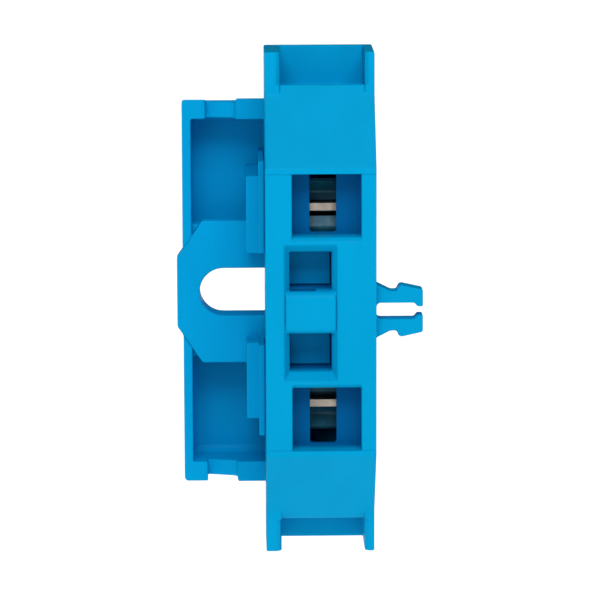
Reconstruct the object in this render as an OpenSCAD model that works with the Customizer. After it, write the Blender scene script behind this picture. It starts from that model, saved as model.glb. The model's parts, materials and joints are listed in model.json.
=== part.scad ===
// Stackable DIN rail terminal block with a screw flange: a spring-clamp feed-through for two wires.
// Millimetres. X runs along the rail, Y runs back towards the rail, and Z runs along the block.
// X = 0 is the left face of the column, Y = 0 the plane that seats on the rail, Z = 0 the middle.
// Depths below are counted backwards from the front face, so Y = depth - seat_depth.

/* [Column] */
// Width of the column, which is the pitch of a row of blocks
column_w = 10.7; // [10.5:0.1:11.5]
// Length of the column from prong tip to prong tip
column_len = 49.7; // [49.2:0.1:52]
// Depth of the column from its front face to its back
column_depth = 12; // [12:0.05:12.1]
// Length of the front face from ridge to ridge
front_flat = 28.2; // [27.8:0.1:28.4]
// Depth that the sloping faces fall back by
slope_drop = 4.8; // [4.7:0.1:5.2]
// Distance from the middle to the end of each slope
slope_reach = 20.7; // [20.6:0.1:21]
// Thickness of the left side wall
side_wall = 1.3; // [1.2:0.05:1.4]

/* [Wire entries] */
// Left edge of a wire entry
entry_x = 2.55; // [2.4:0.05:2.6]
// Width of a wire entry
entry_w = 6.7; // [6.5:0.1:6.8]
// Inner end of a wire entry, from the middle
entry_in = 7.4; // [7.35:0.05:7.5]
// Outer end of a wire entry, from the middle
entry_out = 13.6; // [13.3:0.1:13.6]
// Depth of the entry's funnel
entry_depth = 3; // [2.8:0.1:3.1]
// Left edge of the slit in the funnel's floor
slit_x = 4.3; // [4.2:0.1:4.4]
// Width of the slit
slit_w = 2.6; // [2.4:0.1:2.6]

/* [Release buttons] */
// Left edge of a button's shaft
shaft_x = 2.3; // [2.2:0.05:2.4]
// Width of a button's shaft
shaft_w = 4.1; // [4:0.05:4.2]
// Inner end of a button's shaft, from the middle
shaft_in = 2.05; // [2:0.05:2.1]
// Outer end of a button's shaft, from the middle
shaft_out = 5.9; // [5.8:0.05:5.9]
// Depth at which a button's face rests
button_rest = 4.5; // [4.4:0.1:4.6]
// Gap between a button and its shaft
button_gap = 0.07; // [0.05:0.01:0.1]
// Travel of a release button
button_travel = 1.4; // [1:0.1:1.5]

/* [Rail and flange] */
// Depth from the front face to the plane that seats on the rail
seat_depth = 19; // [18.8:0.1:19.2]
// Width of the top-hat rail
rail_w = 35; // [34.8:0.1:35]
// Thickness of the rail's sheet
rail_t = 1; // [1:0.1:1.1]
// Width of the screw slot
slot_w = 4.8; // [4.4:0.1:5]
// Distance from the column's face to the end of the screw slot
slot_reach = 6.5; // [6.3:0.1:6.6]
// Travel of the rail latch
latch_travel = 1.4; // [1:0.1:1.4]

/* [Metal parts] */
// Thickness of the current bar
bar_t = 0.8; // [0.7:0.05:0.8]
// Width of the current bar's tongues
tongue_w = 3; // [2.8:0.1:3]
// Width of the current bar's web and of the clamp springs
strip_w = 4.8; // [4.6:0.1:4.8]
// Thickness of the clamp springs
spring_t = 0.35; // [0.3:0.01:0.36]

/* [Hidden] */
$fn = 48;

BLUE = [0.0, 0.56, 0.83];
DEEP_BLUE = [0.0, 0.45, 0.72];
TIN = [0.72, 0.70, 0.66];
STEEL = [0.55, 0.57, 0.60];

end_z = column_len / 2;
ridge_z = front_flat / 2;
ridge_h = 0.1;
prong_drop = slope_drop + 0.1;
cavity_front = entry_depth + 0.9;
cavity_back = column_depth - 1.1;
cavity_z = slope_reach - 1.4;
cavity_turn = 16.8;
cover_x = column_w - 1.2;
cover_t = 1.1;
cover_gap = 0.06;
recess_x = column_w - 1.85;
recess_in = 4.3;
recess_out = 14;
recess_front = 7.9;
pin_depth = 8.3;
pin_z = 16.6;
pin_r = 0.75;
metal_x = slit_x + slit_w / 2;
tongue_z = 9.75;
tongue_front = 4.5;
wing_front = column_depth + 0.6;
floor_t = 1.2;
floor_front = seat_depth - floor_t;
wing_x = -8.15;
wing_wall = 0.9;
tray_r = 0.9;
pad_t = 3;
key_x = 1.9;
rim_in = rail_w / 2 - 0.1;
rim_out = 19.35;
rim_back = 18.5;
leg_x = 0.6;
leg_w = 9.5;
leg_in = 19.45;
leg_out = 21.5;
hook_depth = seat_depth + rail_t + 0.1;
leg_back = 22.8;
guide_end = 24.4;
guide_gap = 0.06;
track_x = 2.3;
track_w = 6.1;
latch_front = hook_depth;
latch_back = 22.2;
hook_tip = rail_w / 2 - 1;
spring_x = track_x + track_w / 2;
spring_depth = 18;
spring_r = 1.25;
wire_r = 0.15;
spring_in = 20.95;
spring_end = 23.7;

// ---------- helpers ----------

// A box from ranges of X, depth and Z
module block(x, depth, z)
    translate([x[0], depth[0] - seat_depth, z[0]])
        cube([x[1] - x[0], depth[1] - depth[0], z[1] - z[0]]);

// Extrudes a profile of (depth, Z) points along X
module along_x(x, w)
    translate([x, -seat_depth, 0]) rotate([90, 0, 90]) linear_extrude(w) children();

// Extrudes a profile of (X, Z) points backwards from a depth
module along_depth(depth, t)
    translate([0, depth + t - seat_depth, 0]) rotate([90, 0, 0]) linear_extrude(t) children();

// A round bar along X at a depth and height
module rod_x(x, depth, z, r, length)
    translate([x, depth - seat_depth, z]) rotate([0, 90, 0]) cylinder(r = r, h = length);

module both_ends() {
    children();
    mirror([0, 0, 1]) children();
}

// The piece that fills an inside corner at the origin with a round fillet
module inner_corner(r)
    difference() {
        square(r);
        translate([r, r]) circle(r);
    }

// A rectangle with rounded corners, exact in its arcs
module round_rect(x, z, r) {
    translate([x[0] + r, z[0]]) square([x[1] - x[0] - 2 * r, z[1] - z[0]]);
    translate([x[0], z[0] + r]) square([x[1] - x[0], z[1] - z[0] - 2 * r]);
    for (cx = [x[0] + r, x[1] - r], cz = [z[0] + r, z[1] - r])
        translate([cx, cz]) circle(r);
}

// Bent strip: a centre line traced from moves of [straight length, bend radius, bend angle]
function heading(a) = [cos(a), sin(a)];
function bend(c, r, from, turn) =
    let (steps = max(2, ceil(abs(turn) / 10)), side = turn > 0 ? 90 : -90)
    [for (i = [0:steps]) c + r * heading(from - side + turn * i / steps)];
function trace(p, a, moves, k = 0) = k == len(moves) ? [p] :
    let (m = moves[k], q = p + m[0] * heading(a), side = m[2] > 0 ? 90 : -90,
         c = q + m[1] * heading(a + side), arc = bend(c, m[1], a, m[2]), last = len(arc) - 1)
    concat([p], [for (i = [0:last - 1]) arc[i]], trace(arc[last], a + m[2], moves, k + 1));
function unit(v) = v / norm(v);
function normal_at(path, i) =
    let (a = path[max(i - 1, 0)], b = path[min(i + 1, len(path) - 1)], d = unit(b - a))
    [-d[1], d[0]];
module strip(path, t) {
    n = len(path) - 1;
    left = [for (i = [0:n]) path[i] + normal_at(path, i) * t / 2];
    right = [for (i = [n:-1:0]) path[i] - normal_at(path, i) * t / 2];
    polygon(concat(left, right));
}

// ---------- housing: the column ----------

// Side view of the column: between the ridges and the wire entries a low band stands proud
module column_profile()
    for (side = [0, 1])
        mirror([0, side])
            polygon([[0, -0.1], [0, entry_out], [-ridge_h, entry_out], [-ridge_h, ridge_z],
                     [slope_drop, slope_reach], [prong_drop, end_z], [column_depth, end_z],
                     [column_depth, -0.1]]);

module cavity_profile(grow = 0)
    polygon([[cavity_front - grow, -cavity_turn], [cavity_front - grow, cavity_turn],
             [slope_drop + 0.6 - grow / 2, cavity_z + grow], [cavity_back + grow, cavity_z + grow],
             [cavity_back + grow, -cavity_z - grow], [slope_drop + 0.6 - grow / 2, -cavity_z - grow]]);

// Marker channel between the prongs at one end
module end_channel() {
    back = column_depth - 0.9;
    lip = 0.9;
    x = 1.5;
    w = column_w - 0.95 - x;
    // the slope runs on between the prongs as a lip, and the channel's floor falls away behind it
    run = (slope_drop + ridge_h) / (slope_reach - ridge_z);
    floor_back = slope_reach - 0.3;
    along_x(x, w) difference() {
        polygon([[-1, slope_reach], [slope_drop, slope_reach], [slope_drop + lip * run, slope_reach + lip],
                 [slope_drop + lip * run + 0.3, slope_reach + lip], [back, floor_back],
                 [back, end_z + 1], [-1, end_z + 1]]);
        translate([back, floor_back]) mirror([1, 0]) inner_corner(0.8);
    }
    // bevel along the inner edge of each prong
    for (edge = [[x, 0], [x + w, 1]])
        translate([edge[0], prong_drop - seat_depth, slope_reach + lip]) mirror([edge[1], 0, 0])
            linear_extrude(end_z - slope_reach) polygon([[-0.6, -0.25], [0.2, -0.25], [0.2, 0.55]]);
    block([-1, column_w + 1], [column_depth - 1.2, column_depth + 1], [end_z + 0.15, end_z + 1]);
}

module wire_entry() {
    right = entry_x + entry_w;
    lip = 0.4;
    block([entry_x, right], [-1, entry_depth], [entry_in, entry_out]);
    along_depth(entry_depth - 1, 3)
        round_rect([slit_x, slit_x + slit_w], [entry_in + 0.05, entry_out - 0.1], 0.35);
    along_x(entry_x, entry_w)
        polygon([[-1, entry_in - lip - 1], [0, entry_in - lip], [lip, entry_in], [-1, entry_in + 1]]);
}

// Bevelled frame round both button shafts, with the bridge left standing between them
module button_window() {
    rim_x = 0.55;
    rim_z = 0.82;
    deep = 1.05;
    hull() {
        block([shaft_x - rim_x, shaft_x + shaft_w + rim_x], [-0.01, 0],
              [-shaft_out - rim_z, shaft_out + rim_z]);
        block([shaft_x, shaft_x + shaft_w], [deep, deep + 0.01], [-shaft_out, shaft_out]);
    }
}

module button_shaft()
    block([shaft_x, shaft_x + shaft_w], [-1, cavity_front + 3], [shaft_in, shaft_out]);

module bridge() {
    r = 0.75;
    left = shaft_x - 0.4;
    along_x(left, shaft_w + 0.8) {
        translate([r, -shaft_in]) square([0.9, 2 * shaft_in]);
        translate([0, r - shaft_in]) square([r + 0.1, 2 * (shaft_in - r)]);
        for (z = [-1, 1])
            translate([r, z * (shaft_in - r)]) circle(r);
    }
}

// Hole in the left wall and the tunnel behind the bridge that take the neighbour's peg
module peg_socket() {
    block([-1, 4.8], [1.05, 3.15], [-2.2, 2.2]);
    block([-1, 0.5], [1.05, 3.15], [-2.75, 2.75]);
    block([1.9, 4.8], [1.05, 3.15], [-2.6, 2.6]);
}

module peg() {
    upper = [[0, 2.66], [1.41, 1.95], [2, 1.95], [2.2, 2.42], [2.42, 2.55], [4.45, 2.1], [4.55, 2],
             [4.55, 0.5], [4.47, 0.43], [4, 0.43], [3.72, 0.81], [0.4, 0.81]];
    difference() {
        along_depth(1.15, 1.9) union() {
            for (side = [0, 1])
                mirror([0, side]) polygon(concat([[-0.4, 0], [-0.4, 2.66]], upper, [[0.4, 0]]));
        }
        along_depth(1.05, 2.1) {
            translate([0.46, 0.4]) circle(0.41);
            translate([0.46, -0.4]) circle(0.41);
            translate([0.05, -0.4]) square([0.5, 0.8]);
        }
    }
}

module housing() color(BLUE) {
    guide_x = side_wall - 0.1;
    difference() {
        union() {
            difference() {
                along_x(0, column_w) column_profile();
                along_x(side_wall, column_w) cavity_profile();
            }
            // guide that carries each button past the front wall
            both_ends() block([guide_x, 7.7], [cavity_front - 0.1, cavity_front + 1.7], [1.2, 6.6]);
            // pads that hold the current bar off the left wall
            both_ends() block([guide_x, metal_x - strip_w / 2], [7.6, cavity_back + 0.1], [9, 10.5]);
            // bosses for the cover's pins
            for (z = [-pin_z, 0, pin_z]) rod_x(guide_x, pin_depth, z, 1.6, 4.8);
        }
        both_ends() {
            end_channel();
            wire_entry();
            button_shaft();
            block([recess_x, column_w + 1], [recess_front, column_depth + 1], [recess_in, recess_out]);
            // window for the locking arm of the base
            block([-1, side_wall + 0.5], [8.8, 10.1], [7.4, 10.6]);
        }
        difference() {
            button_window();
            bridge();
        }
        // rebate for the side cover
        along_x(cover_x, 2) cavity_profile(0.4);
        for (z = [-pin_z, 0, pin_z]) rod_x(3, pin_depth, z, pin_r + 0.03, 8);
        peg_socket();
    }
    translate([column_w, 0, 0]) peg();
}

// ---------- side cover ----------

module side_cover() color(BLUE) {
    wall = 0.8;
    inner = recess_x - wall;
    difference() {
        union() {
            along_x(cover_x, cover_t) cavity_profile(0.4 - cover_gap);
            both_ends()
                block([inner, column_w - 0.15], [recess_front - wall, cavity_back - cover_gap],
                      [recess_in - wall, recess_out + wall]);
        }
        both_ends()
            block([recess_x, column_w + 1], [recess_front, column_depth + 1], [recess_in, recess_out]);
    }
    for (z = [-pin_z, 0, pin_z]) rod_x(3.2, pin_depth, z, pin_r, cover_x - 3.1);
}

// ---------- mounting base: flange, rail seat, claw and latch guide ----------

// End wall of the tray in (depth, Z), drawn in towards the rail
module rim_profile()
    polygon([[wing_front, rim_in], [wing_front, rim_out], [seat_depth, rim_back], [seat_depth, rim_in]]);

module tray_end() {
    along_x(wing_x, key_x - wing_x) rim_profile();
    // stiffened stretch beside the column
    along_x(-2.7, key_x + 2.7)
        polygon([[wing_front - 0.05, rim_in], [wing_front - 0.05, rim_out + 0.12],
                 [seat_depth - 2, rim_back + 0.3], [seat_depth - 2, rim_in]]);
    along_x(wing_x + 0.5, key_x - wing_x - 1)
        translate([floor_front, rim_in]) mirror([0, 1]) mirror([1, 0]) inner_corner(tray_r);
}

// Notch across the end wall, deepest at its left end and with a bevel at its right end
module tray_notch() {
    left = -5.8;
    right = -2.8;
    step = [[left, wing_front - 1], [left, wing_front + 1.2], [right - 0.3, wing_front + 0.7],
            [right, wing_front + 0.4], [right, wing_front - 1]];
    translate([0, -seat_depth, rim_in - 1]) linear_extrude(4) polygon(step);
    along_x(left, right - left)
        polygon([[wing_front, rim_out - 0.2], [seat_depth - 2.2, rim_back + 0.075],
                 [seat_depth - 2.2, rim_out + 1], [wing_front, rim_out + 1]]);
}

// Cutter that rounds the outer left corner of an end wall
module wing_corner()
    along_depth(wing_front - 1, seat_depth)
        translate([wing_x, rim_out]) mirror([0, 1]) inner_corner(0.4);

// Fillet along the tray's left wall, where it meets the floor
module tray_side_fillet()
    translate([wing_x + wing_wall, floor_front - seat_depth, -rim_in])
        mirror([0, 1, 0]) linear_extrude(2 * rim_in) inner_corner(tray_r);

module flange_plate() {
    half = 7.2;
    outline = [[leg_x, half], [-6.2, half], [-8.75, 3.5], [-8.75, -3.5], [-6.2, -half], [leg_x, -half]];
    along_depth(wing_front - 0.1, 1.6) polygon(outline);
    block([wing_x + 0.2, leg_x + 0.1], [wing_front + 1, wing_front + pad_t], [-half + 0.5, half - 0.5]);
}

module screw_slot() {
    r = slot_w / 2;
    cx = r - slot_reach;
    translate([cx, -seat_depth, 0]) rotate([-90, 0, 0]) cylinder(r = r, h = seat_depth + 1);
    block([cx, leg_x], [wing_front - 1, seat_depth + 1], [-r, r]);
    block([wing_x + wing_wall, leg_x], [wing_front + pad_t, seat_depth + 1], [-4.1, 4.1]);
}

// Locking arm beside the column, in two steps, with a barb that enters the column's wall
module locking_arm() {
    gap = 0.03;
    block([-1.84, -0.6], [8.9, floor_front + 0.2], [4.5, 12.2]);
    block([-0.62, -gap], [8.1, floor_front + 0.2], [4.6, 13.8]);
    along_depth(8.9, 1.1) polygon([[-gap - 0.1, 7.5], [0.9, 7.5], [0.9, 10.5], [-gap - 0.1, 10.5]]);
}

// Leg that runs past the end of the neighbour's flange
module leg(reach)
    block([leg_x, leg_x + leg_w], [column_depth + 0.05, leg_back], [leg_in, reach]);

// Block at the root of a claw, which stops the rail's edge; beside the column it joins the tray
module claw_root() {
    block([leg_x, leg_x + leg_w], [seat_depth + 0.1, leg_back], [rail_w / 2 + 0.1, leg_in + 0.1]);
    block([leg_x, key_x], [seat_depth - 0.1, seat_depth + 0.2], [rail_w / 2 + 0.1, leg_in + 0.1]);
}

module fixed_claw() {
    leg(leg_out);
    claw_root();
    along_x(track_x, track_w)
        polygon([[hook_depth, leg_in], [hook_depth, hook_tip], [hook_depth + 0.7, hook_tip],
                 [leg_back, rail_w / 2 + 0.4], [leg_back, leg_in]]);
}

module latch_guide() {
    half = track_w / 2 + guide_gap;
    difference() {
        union() {
            leg(guide_end);
            claw_root();
        }
        // track for the slider, open to the rail, to the bottom and to the back
        block([spring_x - half, spring_x + half], [latch_front - guide_gap, latch_back + guide_gap],
              [rail_w / 2 - 1, guide_end + 1]);
        block([spring_x - half + 0.5, spring_x + half - 0.5], [latch_back, leg_back + 1],
              [rail_w / 2 - 1, guide_end + 1]);
        // pocket for the spring and the slider's boss
        block([spring_x - 1.6, spring_x + 1.6], [spring_depth - 1.6, latch_front],
              [leg_in + 0.4, spring_end]);
    }
}

module mounting_base() color(DEEP_BLUE) {
    difference() {
        union() {
            both_ends() tray_end();
            block([wing_x, key_x], [floor_front, seat_depth], [-rim_in - 0.1, rim_in + 0.1]);
            block([wing_x, wing_x + wing_wall], [wing_front, seat_depth], [-rim_in - 0.1, rim_in + 0.1]);
            block([leg_x, key_x], [column_depth + 0.05, seat_depth], [-rim_out, rim_out]);
            both_ends() block([leg_x, key_x], [column_depth + 0.05, seat_depth], [rim_in, leg_in + 0.1]);
            tray_side_fillet();
            flange_plate();
            both_ends() locking_arm();
            fixed_claw();
            mirror([0, 0, 1]) latch_guide();
        }
        both_ends() {
            tray_notch();
            wing_corner();
        }
        screw_slot();
    }
}

// ---------- metal parts ----------

module current_bar() color(TIN) {
    r = 0.9;
    limb = cavity_back - 0.1 - bar_t / 2 - tongue_front - r;
    path = trace([tongue_front, tongue_z], 0,
                 [[limb, r, -90], [2 * (tongue_z - r), r, -90], [limb - 0.01, 1, -0.1]]);
    waist = tongue_front + 3.1;
    intersection() {
        along_x(metal_x - strip_w / 2, strip_w) strip(path, bar_t);
        union() {
            block([metal_x - tongue_w / 2, metal_x + tongue_w / 2], [0, column_depth], [-end_z, end_z]);
            block([0, column_w], [waist, column_depth], [-end_z, end_z]);
        }
    }
}

// Cage spring for one wire: fixed leg on the tongue, loop, and a leg with a window over the tongue
module clamp_spring() color(STEEL) {
    leg_z = tongue_z - bar_t / 2 - spring_t / 2;
    path = trace([6.4, leg_z], 0, [[1.5, 1.575, -208], [2.1, 0.5, -82], [3.2, 0.55, 62], [1.2, 0.4, 20]]);
    window = tongue_w / 2 + 0.12;
    difference() {
        along_x(metal_x - strip_w / 2, strip_w) strip(path, spring_t);
        block([metal_x - window, metal_x + window], [4, 6.25], [leg_z - 0.4, tongue_z + bar_t / 2 + 0.1]);
    }
}

module clamp_spring_upper() clamp_spring();

module clamp_spring_lower() mirror([0, 0, 1]) clamp_spring();

// ---------- release buttons ----------

module release_button() color(BLUE) {
    g = button_gap;
    guide_back = cavity_front + 1.7;
    block([shaft_x + g, shaft_x + shaft_w - g], [button_rest, guide_back + 0.3],
          [shaft_in + g, shaft_out - g]);
    block([shaft_x - 0.4, shaft_x + shaft_w + 0.4], [guide_back + 0.05, guide_back + 0.6],
          [shaft_in - 0.35, 6.1]);
    along_x(shaft_x + 0.6, shaft_w - 1.2)
        polygon([[guide_back + 0.5, 3.4], [guide_back + 0.5, 5.8], [guide_back + 1.1, 5.6],
                 [guide_back + 1.5, 5.1], [guide_back + 1.5, 3.4]]);
}

module release_button_upper() release_button();

module release_button_lower() mirror([0, 0, 1]) release_button();

// ---------- rail latch and its spring ----------

module rail_latch() color(BLUE) {
    half = track_w / 2;
    tail = guide_end - 0.1;
    difference() {
        union() {
            mirror([0, 0, 1]) along_x(spring_x - half, track_w)
                polygon([[latch_front, hook_tip], [latch_front + 0.7, hook_tip],
                         [latch_back, rail_w / 2 + 0.2], [latch_back, tail], [latch_front, tail]]);
            // boss that the spring pushes
            block([spring_x - 1.5, spring_x + 1.5], [spring_depth - 1.5, latch_front + 0.1],
                  [-spring_in, -leg_in - 0.45]);
        }
        // slot for a screwdriver blade
        block([spring_x - 1.8, spring_x + 1.8], [latch_front + 0.6, latch_back - 0.5], [-tail - 1, -tail + 2]);
    }
}

// Height along the latch spring: closed end turns, and an even pitch between them
function rise(u) = u < 0.2 ? u * 0.85 : (u > 0.8 ? 1 - (1 - u) * 0.85 : 0.17 + (u - 0.2) * 1.1);

// Compression spring: rings of wire points swept along a coil with a closed turn at each end
module latch_spring() color(STEEL) {
    turns = 4;
    per_turn = 20;
    sides = 8;
    length = spring_end - spring_in - 2 * wire_r - 0.04;
    steps = turns * per_turn;
    rings = [for (i = [0:steps]) let (u = i / steps, a = 360 * turns * u)
        for (k = [0:sides - 1]) let (b = 360 * k / sides, r = spring_r + wire_r * cos(b))
            [r * cos(a), r * sin(a), rise(u) * length + wire_r * sin(b)]];
    skin = [for (i = [0:steps - 1], k = [0:sides - 1])
        [i * sides + k, (i + 1) * sides + k, (i + 1) * sides + (k + 1) % sides, i * sides + (k + 1) % sides]];
    caps = [[for (k = [0:sides - 1]) k], [for (k = [sides - 1:-1:0]) steps * sides + k]];
    translate([spring_x, spring_depth - seat_depth, -spring_end + wire_r + 0.02])
        polyhedron(rings, concat(skin, caps));
}

housing();
side_cover();
mounting_base();
current_bar();
clamp_spring_upper();
clamp_spring_lower();
release_button_upper();
release_button_lower();
rail_latch();
latch_spring();
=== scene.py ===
import json
import math

import bmesh
import bpy
from mathutils import Matrix, Vector

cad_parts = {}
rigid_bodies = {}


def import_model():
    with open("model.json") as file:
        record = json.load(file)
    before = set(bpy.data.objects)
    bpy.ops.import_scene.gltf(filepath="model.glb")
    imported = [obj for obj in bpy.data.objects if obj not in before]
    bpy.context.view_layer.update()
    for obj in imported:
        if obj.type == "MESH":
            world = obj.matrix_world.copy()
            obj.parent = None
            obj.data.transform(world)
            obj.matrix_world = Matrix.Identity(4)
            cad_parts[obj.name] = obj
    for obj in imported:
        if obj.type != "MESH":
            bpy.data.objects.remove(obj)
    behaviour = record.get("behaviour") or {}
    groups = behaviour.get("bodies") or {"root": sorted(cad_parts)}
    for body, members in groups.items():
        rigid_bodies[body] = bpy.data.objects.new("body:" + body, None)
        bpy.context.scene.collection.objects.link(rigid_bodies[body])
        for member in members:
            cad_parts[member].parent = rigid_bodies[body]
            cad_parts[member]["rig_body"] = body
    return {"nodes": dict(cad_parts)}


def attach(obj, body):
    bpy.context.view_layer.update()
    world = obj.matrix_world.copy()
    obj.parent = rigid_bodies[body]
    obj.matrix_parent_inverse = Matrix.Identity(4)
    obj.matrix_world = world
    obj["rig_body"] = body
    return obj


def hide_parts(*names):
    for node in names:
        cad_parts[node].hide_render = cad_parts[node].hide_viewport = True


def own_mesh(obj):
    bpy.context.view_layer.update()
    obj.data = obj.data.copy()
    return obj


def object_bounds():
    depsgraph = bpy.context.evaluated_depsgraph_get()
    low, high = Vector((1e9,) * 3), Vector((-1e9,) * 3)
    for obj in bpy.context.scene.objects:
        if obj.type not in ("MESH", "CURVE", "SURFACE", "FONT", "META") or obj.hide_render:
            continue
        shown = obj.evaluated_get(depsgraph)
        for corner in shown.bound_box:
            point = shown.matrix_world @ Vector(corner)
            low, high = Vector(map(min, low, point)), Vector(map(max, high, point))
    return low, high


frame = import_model()
cad_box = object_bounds()
scene = bpy.context.scene
MM = 0.001

# The softboxes light the block and leave the floor to its own light
on_block = bpy.data.collections.new("lit_block")
on_floor = bpy.data.collections.new("lit_floor")

# The photo's camera: degrees round from the front, above the horizon and about its own axis, then
# the point it looks at and its distance from that point, in metres, and its focal length in mm
VIEW_AZIMUTH, VIEW_ELEVATION, VIEW_ROLL = -1.11, 10.07, -0.19
VIEW_TARGET = Vector((3.30, -19.0, 1.35)) * MM
VIEW_DISTANCE = 340 * MM
LENS, SENSOR = 211.3, 36

# Name, place and size in metres, and watts of each softbox round the block
SOFT_BOXES = (
    ("left", (-0.385, -0.280, 0.171), (0.25, 0.30), 0.10),
    ("top_front", (0, -0.364, 0.354), (0.40, 0.25), 1.90),
    ("over", (0, -0.139, 0.483), (0.40, 0.25), 0.16),
    ("front", (-0.098, -0.470, 0.171), (0.14, 0.14), 0.12),
)
BLOCK_CENTRE = (0.003, -0.01, 0)

# What of the white room reaches the block, and half the floor's width and its depth below the block
ROOM_GLOW = 0.03
FLOOR_HALF, FLOOR_DROP = 8, 0.2
WHITE = (1, 1, 1, 1)


# ---------- camera, light and floor ----------

def make_camera():
    """Places the camera where the photo was taken from."""
    a, e, roll = (math.radians(x) for x in (VIEW_AZIMUTH, VIEW_ELEVATION, VIEW_ROLL))
    back = Vector((math.sin(a) * math.cos(e), -math.cos(a) * math.cos(e), math.sin(e)))
    right = (-back).cross(Vector((0, 0, 1))).normalized()
    up = right.cross(-back)
    right, up = (math.cos(roll) * right + math.sin(roll) * up,
                 math.cos(roll) * up - math.sin(roll) * right)
    data = bpy.data.cameras.new("camera")
    data.lens = LENS
    data.sensor_width = SENSOR
    data.clip_start, data.clip_end = 0.01, 20
    camera = bpy.data.objects.new("camera", data)
    place = Matrix((right, up, back)).transposed().to_4x4()
    place.translation = VIEW_TARGET + back * VIEW_DISTANCE
    camera.matrix_world = place
    scene.collection.objects.link(camera)
    scene.camera = camera


def soft_box(name, place, size, watts, lit, aim=BLOCK_CENTRE):
    """A rectangular area light at place, turned towards aim, that lights one collection."""
    data = bpy.data.lights.new(name, "AREA")
    data.shape = "RECTANGLE"
    data.size, data.size_y = size
    data.energy = watts
    light = bpy.data.objects.new(name, data)
    light.location = place
    light.rotation_mode = "QUATERNION"
    light.rotation_quaternion = (Vector(aim) - Vector(place)).to_track_quat("-Z", "Y")
    light.light_linking.receiver_collection = lit
    light.visible_camera = False
    scene.collection.objects.link(light)


def make_stage():
    """White room, softboxes and floor.

    The room reads white but hardly lights the block; the softboxes do that."""
    world = bpy.data.worlds.new("studio")
    scene.world = world
    world.use_nodes = True
    nodes, links = world.node_tree.nodes, world.node_tree.links
    dim, seen = nodes["Background"], nodes.new("ShaderNodeBackground")
    dim.inputs["Color"].default_value = WHITE
    dim.inputs["Strength"].default_value = ROOM_GLOW
    seen.inputs["Color"].default_value = WHITE
    path, mix = nodes.new("ShaderNodeLightPath"), nodes.new("ShaderNodeMixShader")
    links.new(path.outputs["Is Camera Ray"], mix.inputs["Fac"])
    links.new(dim.outputs["Background"], mix.inputs[1])
    links.new(seen.outputs["Background"], mix.inputs[2])
    links.new(mix.outputs["Shader"], nodes["World Output"].inputs["Surface"])
    scene.view_settings.view_transform = "Standard"

    for name, place, size, watts in SOFT_BOXES:
        soft_box(name, place, size, watts, on_block)
    soft_box("floor_light", (0, 0, 3.0), (12, 12), 670, on_floor, aim=(0, 0, -1))

    material, shader, _ = new_material("floor")
    shader.inputs["Base Color"].default_value = (0.95, 0.95, 0.95, 1)
    shader.inputs["Roughness"].default_value = 0.9
    mesh = bpy.data.meshes.new("floor")
    half, z = FLOOR_HALF, cad_box[0].z - FLOOR_DROP
    corners = [(-half, -half, z), (half, -half, z), (half, half, z), (-half, half, z)]
    mesh.from_pydata(corners, [], [(0, 1, 2, 3)])
    mesh.materials.append(material)
    floor = bpy.data.objects.new("floor", mesh)
    scene.collection.objects.link(floor)
    on_floor.objects.link(floor)


# ---------- materials ----------

def new_material(name):
    """A new material, its shader and its node tree."""
    material = bpy.data.materials.new(name)
    material.use_nodes = True
    tree = material.node_tree
    return material, tree.nodes["Principled BSDF"], tree


def noise(tree, scale, detail=3.0, stretch=(1, 1, 1)):
    """Noise over the piece's own coordinates; scale is in cells to the metre."""
    nodes, links = tree.nodes, tree.links
    coords = nodes.new("ShaderNodeTexCoord")
    mapping = nodes.new("ShaderNodeMapping")
    mapping.inputs["Scale"].default_value = stretch
    texture = nodes.new("ShaderNodeTexNoise")
    texture.inputs["Scale"].default_value = scale
    texture.inputs["Detail"].default_value = detail
    links.new(coords.outputs["Object"], mapping.inputs["Vector"])
    links.new(mapping.outputs["Vector"], texture.inputs["Vector"])
    return texture.outputs["Fac"]


def spread(tree, value, low, high):
    """Maps the middle of a noise to the range low to high."""
    node = tree.nodes.new("ShaderNodeMapRange")
    node.inputs["From Min"].default_value = 0.3
    node.inputs["From Max"].default_value = 0.7
    node.inputs["To Min"].default_value = low
    node.inputs["To Max"].default_value = high
    tree.links.new(value, node.inputs["Value"])
    return node.outputs["Result"]


def between(tree, value, dark, light):
    """Colour between dark and light by a noise."""
    ramp = tree.nodes.new("ShaderNodeValToRGB")
    ramp.color_ramp.elements[0].position = 0.32
    ramp.color_ramp.elements[1].position = 0.68
    ramp.color_ramp.elements[0].color = (*dark, 1)
    ramp.color_ramp.elements[1].color = (*light, 1)
    tree.links.new(value, ramp.inputs["Fac"])
    return ramp.outputs["Color"]


def bump(tree, height, distance, strength, below=None):
    """Surface normal over a height, on top of another bump if there is one below."""
    node = tree.nodes.new("ShaderNodeBump")
    node.inputs["Distance"].default_value = distance
    node.inputs["Strength"].default_value = strength
    tree.links.new(height, node.inputs["Height"])
    if below is not None:
        tree.links.new(below, node.inputs["Normal"])
    return node.outputs["Normal"]


# Boxes of painted shade, in mm: along each axis the middle, and how far from it the painted shade
# has faded out and where it starts to fade. The first is painted shade on the faces sunk inside the
# column. The second is a painted shadow on the lower marker channel's back wall between the prongs,
# and it also darkens the inner edge of a prong.
INSIDE_PAINTED_SHADE = (("X", 5.5, 4.3, 4.0), ("Y", -12.75, 5.05, 3.35), ("Z", 0, 14.0, 13.7))
# The next box is a painted shadow on the lower marker channel's back wall
LOWER_CHANNEL_PAINTED_SHADOW = (("X", 5.5, 4.15, 4.0), ("Y", -15.5, 3.6, 3.5), ("Z", -23.4, 1.8, 1.7))


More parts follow.
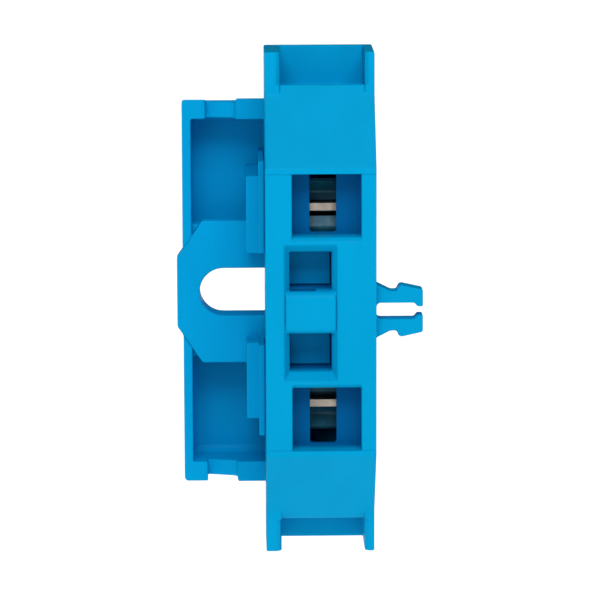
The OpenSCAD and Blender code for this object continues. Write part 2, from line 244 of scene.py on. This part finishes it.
def within(tree, box):
    """1 on the faces inside a box, 0 outside it."""
    nodes, links = tree.nodes, tree.links
    coords = nodes.new("ShaderNodeTexCoord")
    parts = nodes.new("ShaderNodeSeparateXYZ")
    links.new(coords.outputs["Object"], parts.inputs["Vector"])
    mask = None
    for axis, middle, outer, inner in box:
        away, size = nodes.new("ShaderNodeMath"), nodes.new("ShaderNodeMath")
        away.operation, size.operation = "SUBTRACT", "ABSOLUTE"
        away.inputs[1].default_value = middle * MM
        links.new(parts.outputs[axis], away.inputs[0])
        links.new(away.outputs["Value"], size.inputs[0])
        ramp = nodes.new("ShaderNodeMapRange")
        ramp.inputs["From Min"].default_value = outer * MM
        ramp.inputs["From Max"].default_value = inner * MM
        links.new(size.outputs["Value"], ramp.inputs["Value"])
        if mask is None:
            mask = ramp.outputs["Result"]
            continue
        both = nodes.new("ShaderNodeMath")
        both.operation = "MULTIPLY"
        links.new(mask, both.inputs[0])
        links.new(ramp.outputs["Result"], both.inputs[1])
        mask = both.outputs["Value"]
    return mask


# The mix node's own sockets for colours, which share their names with its sockets for numbers
MIX_FACTOR, MIX_A, MIX_B, MIX_RESULT = 0, 6, 7, 2

FLOW_SHADE = 0.95    # the darkest flow mark, as a share of the plastic's own colour
PLASTIC_SHINE = 0.02


def moulded_plastic(name, light, rough=0.38, painted_shade=()):
    """Satin moulded polyamide: faint flow marks, a fine grain and slightly uneven gloss.

    Faces sunk into the block can take a darker colour as painted shade:
    painted_shade lists boxes and the painted shade colour in each."""
    material, shader, tree = new_material(name)
    dark = tuple(c * FLOW_SHADE for c in light)
    colour = between(tree, noise(tree, 260, 4, (1, 1, 0.35)), dark, light)
    # Painted shade: each box mixes its darker colour over the faces inside it
    for box, painted_shade_colour in painted_shade:
        mix = tree.nodes.new("ShaderNodeMix")
        mix.data_type = "RGBA"
        mix.inputs[MIX_B].default_value = (*painted_shade_colour, 1)
        tree.links.new(within(tree, box), mix.inputs[MIX_FACTOR])
        tree.links.new(colour, mix.inputs[MIX_A])
        colour = mix.outputs[MIX_RESULT]
    tree.links.new(colour, shader.inputs["Base Color"])
    tree.links.new(spread(tree, noise(tree, 900, 4), rough - 0.05, rough + 0.06),
                   shader.inputs["Roughness"])
    waves = bump(tree, noise(tree, 330, 2), 0.02 * MM, 0.5)
    grain = bump(tree, noise(tree, 12000, 3), 0.004 * MM, 0.6, below=waves)
    tree.links.new(grain, shader.inputs["Normal"])
    shader.inputs["Specular IOR Level"].default_value = PLASTIC_SHINE
    return material


# How closely the noise for scratches is packed across them and along them
SCRATCH_ACROSS, SCRATCH_ALONG = 6.0, 0.25


def sheet_metal(name, dark, light, rough, scratch_axis, metallic=1.0):
    """Rolled strip: colour drifts, fine scratches lie along one axis, and the gloss varies."""
    material, shader, tree = new_material(name)
    shader.inputs["Metallic"].default_value = metallic
    stretch = [SCRATCH_ACROSS] * 3
    stretch[scratch_axis] = SCRATCH_ALONG
    tree.links.new(between(tree, noise(tree, 700, 5), dark, light), shader.inputs["Base Color"])
    tree.links.new(spread(tree, noise(tree, 1500, 5), rough - 0.08, rough + 0.1),
                   shader.inputs["Roughness"])
    lines = bump(tree, noise(tree, 3000, 4, stretch), 0.003 * MM, 0.5)
    tree.links.new(lines, shader.inputs["Normal"])
    return material


# ---------- detailed meshes in place of the CAD ones ----------

SHARP = math.radians(24)       # edges that turn by more than this are rounded
FLAT = math.radians(0.6)       # faces that turn by less than this lie in one plane
SAME_SIDE = 0.64               # cosine of the widest turn over which faces share a normal
WELD, SLIVER = 0.002 * MM, 0.001 * MM
BEVEL_SHARE = 0.45             # of the room inside a face that one edge's bevel may take

# Cuts across a hole are tried in steps from its middle outwards: how many each way, in how many
# parts of the hole's width, what counts as clear of a corner, and what a step costs
CUT_STEPS, CUT_PARTS = 9, 21
CLEAR, STEP_COST = 0.4 * MM, 0.004 * MM


def turn(corner):
    """How far a face's outline turns at a corner."""
    return (corner.vert.co - corner.link_loop_prev.vert.co).angle(
        corner.link_loop_next.vert.co - corner.vert.co, 0.0)


def edge_room(loop):
    """How far a bevel can reach into a face from one of its edges before it meets something."""
    face, skip = loop.face, {loop.vert, loop.link_loop_next.vert}
    ahead, back = loop.link_loop_next, loop
    while turn(ahead) < SHARP and ahead.link_loop_next.vert not in skip:
        ahead = ahead.link_loop_next
        skip.add(ahead.vert)
    while turn(back) < SHARP and back.link_loop_prev.vert not in skip:
        back = back.link_loop_prev
        skip.add(back.vert)
    a, b = (v.co for v in loop.edge.verts)
    along = b - a
    room = 1.0
    for vert in face.verts:
        if vert not in skip:
            t = max(0.0, min(1.0, (vert.co - a).dot(along) / along.length_squared))
            room = min(room, (vert.co - a - t * along).length)
    return room


def bevel_weights(bm, width):
    """Weight of each sharp edge, the same all along a line of edges that runs on smoothly."""
    rooms, line_of = {}, {}
    for edge in bm.edges:
        if len(edge.link_faces) == 2 and edge.calc_face_angle(0) > SHARP:
            rooms[edge] = min(edge_room(loop) for loop in edge.link_loops)
    for start in rooms:
        if start in line_of:
            continue
        line, queue = [], [start]
        line_of[start] = line
        while queue:
            edge = queue.pop()
            line.append(edge)
            for vert in edge.verts:
                here = edge.other_vert(vert).co - vert.co
                for other in vert.link_edges:
                    if other in rooms and other not in line_of and \
                            here.angle(vert.co - other.other_vert(vert).co, 0.0) < SHARP:
                        line_of[other] = line
                        queue.append(other)
    return {edge: min(1.0, BEVEL_SHARE * min(rooms[e] for e in line_of[edge]) / width)
            for edge in rooms}


def flat_regions(bm):
    """Sets of faces that lie in one plane and touch."""
    seen, regions = set(), []
    for start in bm.faces:
        if start in seen:
            continue
        seen.add(start)
        region, queue = [], [start]
        while queue:
            face = queue.pop()
            region.append(face)
            for edge in face.edges:
                if len(edge.link_faces) == 2 and edge.calc_face_angle(0) < FLAT:
                    for other in edge.link_faces:
                        if other not in seen:
                            seen.add(other)
                            queue.append(other)
        regions.append(region)
    return regions


def rim_loops(region):
    """Vertices of each closed line round a region, the outside first and then its holes."""
    own = set(region)
    steps = {}
    for face in region:
        for loop in face.loops:
            edge = loop.edge
            if sum(f in own for f in edge.link_faces) == 1:
                steps.setdefault(loop.vert, []).append(loop.link_loop_next.vert)
    loops = []
    while steps:
        first = next(iter(steps))
        line, at = [], first
        while at in steps:
            line.append(at)
            following = steps[at].pop()
            if not steps[at]:
                del steps[at]
            at = following
        loops.append(line)
    return sorted(loops, key=lambda line: -loop_size(line))


def loop_size(line):
    """Width, depth and height of a line of vertices, added up."""
    return sum(max(v.co[i] for v in line) - min(v.co[i] for v in line) for i in range(3))


def cut_place(line, region_verts, axis):
    """Where to cut across a hole, and how good a place it is: near its middle and well clear of
    every corner."""
    low, high = min(v.co[axis] for v in line), max(v.co[axis] for v in line)
    others = [v.co[axis] for v in region_verts]
    best = None
    for step in range(-CUT_STEPS, CUT_STEPS + 1):
        place = (low + high) / 2 + (high - low) * step / CUT_PARTS
        room = min(abs(place - c) for c in others)
        score = min(room, CLEAR) - abs(step) * STEP_COST
        if best is None or score > best[0]:
            best = (score, place)
    return best


def open_holes(bm):
    """Cuts each flat region across its holes, square to their sides, and marks cuts as seams."""
    for region in flat_regions(bm):
        loops = rim_loops(region)
        for line in loops[1:]:
            faces = [f for f in region if f.is_valid]
            verts = {v for f in faces for v in f.verts}
            normal = faces[0].normal
            spans = [i for i in range(3) if abs(normal[i]) < 0.5]
            _, place, axis = max((cut_place(line, verts, i) + (i,) for i in spans),
                                 key=lambda choice: choice[0])
            direction, middle = [0, 0, 0], [0, 0, 0]
            direction[axis] = 1
            middle[axis] = place
            geometry = faces + list({e for f in faces for e in f.edges}) + list(verts)
            before = set(bm.faces)
            cut = bmesh.ops.bisect_plane(bm, geom=geometry, dist=0.0005 * MM,
                                         plane_co=middle, plane_no=direction)
            for item in cut["geom_cut"]:
                if isinstance(item, bmesh.types.BMEdge):
                    item.seam = True
            region = faces + [f for f in bm.faces if f not in before]


def clean_mesh(source):
    """Copy of a node's mesh with shared vertices, and each flat face in few, simple pieces."""
    bm = bmesh.new()
    bm.from_mesh(source.data)
    bmesh.ops.remove_doubles(bm, verts=bm.verts, dist=WELD)
    bmesh.ops.dissolve_degenerate(bm, dist=SLIVER, edges=bm.edges)
    open_holes(bm)
    bmesh.ops.dissolve_limit(bm, angle_limit=FLAT, verts=bm.verts, edges=bm.edges,
                             delimit={"SEAM"})
    return bm


def settle_normals(mesh):
    """Each corner leans to the largest faces round it, so that flat faces stay flat and rounded
    edges roll over evenly."""
    faces = [(face.normal.copy(), (face.area / MM ** 2) ** 2) for face in mesh.polygons]
    around = [[] for _ in mesh.vertices]
    for face in mesh.polygons:
        for vert in face.vertices:
            around[vert].append(faces[face.index])
    normals = [None] * len(mesh.loops)
    for face in mesh.polygons:
        own = faces[face.index][0]
        for corner in face.loop_indices:
            total = Vector()
            for normal, share in around[mesh.loops[corner].vertex_index]:
                if own.dot(normal) > SAME_SIDE:
                    total += normal * share
            normals[corner] = total.normalized() if total.length > 0 else own
    mesh.normals_split_custom_set(normals)


def detailed(node, width, material, name, segments=3):
    """Stands for a CAD node: the same solid with the small round edges of the real piece.

    A width of 0 leaves every edge as it is."""
    source = frame["nodes"][node]
    bm = clean_mesh(source)
    layers = bm.edges.layers.float
    weight = layers.get("bevel_weight_edge") or layers.new("bevel_weight_edge")
    if width:
        for edge, value in bevel_weights(bm, width).items():
            edge[weight] = value
    mesh = bpy.data.meshes.new(name)
    bm.to_mesh(mesh)
    bm.free()
    mesh.shade_smooth()
    piece = bpy.data.objects.new(name, mesh)
    scene.collection.objects.link(piece)
    bevel = piece.modifiers.new("bevel", "BEVEL")
    bevel.limit_method = "WEIGHT"
    bevel.width = width
    bevel.segments = segments
    bevel.use_clamp_overlap = False
    bevel.miter_outer = "MITER_ARC"
    graph = bpy.context.evaluated_depsgraph_get()
    done = bpy.data.meshes.new_from_object(
        piece.evaluated_get(graph), preserve_all_data_layers=True, depsgraph=graph)
    piece.modifiers.clear()
    settle_normals(done)
    piece.data = done
    done.materials.clear()
    done.materials.append(material)
    on_block.objects.link(piece)
    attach(piece, source["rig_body"])
    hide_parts(node)
    return piece


# ---------- the block ----------

make_camera()
make_stage()

# The housing's colour carries painted shade inside the column and a painted shadow in the lower
# marker channel
housing_blue_with_painted_shade = moulded_plastic(
    "housing_plastic", (0.0, 0.340, 0.650),
    painted_shade=((INSIDE_PAINTED_SHADE, (0.0, 0.125, 0.340)), (LOWER_CHANNEL_PAINTED_SHADOW, (0.0, 0.010, 0.165))))
base_blue = moulded_plastic("base_plastic", (0.0, 0.330, 0.660))
button_blue = moulded_plastic("button_plastic", (0.0, 0.340, 0.700), rough=0.42)
tin = sheet_metal("tinned_copper", (0.46, 0.39, 0.31), (0.62, 0.54, 0.45), 0.42, 0)
# The steel's dark teal colour is a painted reflection of the blue housing round the springs
steel = sheet_metal("steel_painted_blue_reflection", (0.0, 0.085, 0.145), (0.01, 0.13, 0.20), 0.44, 1,
                    metallic=0.15)

# Radius of the rounded edges, in metres
MOULDED, SMALL, CATCH = 0.16 * MM, 0.12 * MM, 0.14 * MM
STAMPED, BENT, AS_DRAWN = 0.07 * MM, 0.04 * MM, 0

detailed("housing", MOULDED, housing_blue_with_painted_shade, "moulded_housing")
detailed("side_cover", SMALL, housing_blue_with_painted_shade, "moulded_side_cover")
detailed("mounting_base", MOULDED, base_blue, "moulded_base")
detailed("release_button_upper", SMALL, button_blue, "moulded_button_upper")
detailed("release_button_lower", SMALL, button_blue, "moulded_button_lower")
detailed("rail_latch", CATCH, base_blue, "moulded_latch")
detailed("current_bar", STAMPED, tin, "stamped_bar", segments=2)
upper_spring = detailed("clamp_spring_upper", BENT, steel, "bent_spring_upper", segments=2)
lower_spring = detailed("clamp_spring_lower", BENT, steel, "bent_spring_lower", segments=2)
coil = detailed("latch_spring", AS_DRAWN, steel, "coil_spring")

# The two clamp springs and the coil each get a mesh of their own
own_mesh(upper_spring)
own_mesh(lower_spring)
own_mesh(coil)
